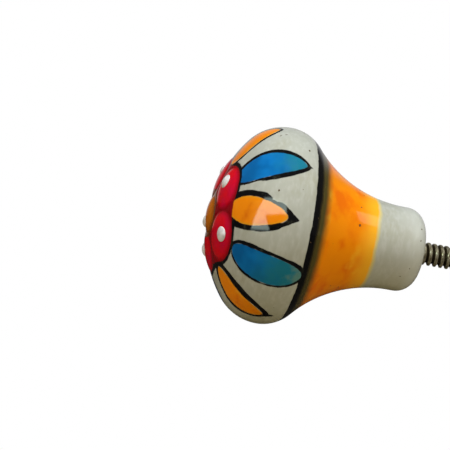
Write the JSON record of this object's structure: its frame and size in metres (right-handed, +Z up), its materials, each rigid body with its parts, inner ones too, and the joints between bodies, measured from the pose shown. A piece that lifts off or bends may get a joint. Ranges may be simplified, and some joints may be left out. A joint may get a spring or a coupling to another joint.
{
  "type": "cabinet knob",
  "caption": "Glazed ceramic cabinet knob with a domed floral face, a flared neck and a threaded steel stud for fixing through a drawer front or door.",
  "frame": {"origin": "on the knob's axis, in the flat back face that seats against the drawer front", "axes": "+Y along the stud, away from the painted face; the face looks along -Y; +Z up"},
  "size_m": [0.04, 0.0767, 0.04],
  "materials": {
    "glazed_body": "clear gloss glaze over hand-painted colours",
    "plated_steel": "worn bright plating with dark thread roots",
    "cement": "matt, slightly rough"
  },
  "bodies": {
    "root": {"ceramic_knob": "glazed_body", "stud": "plated_steel", "stud_cement": "cement"}
  },
  "joints": []
}
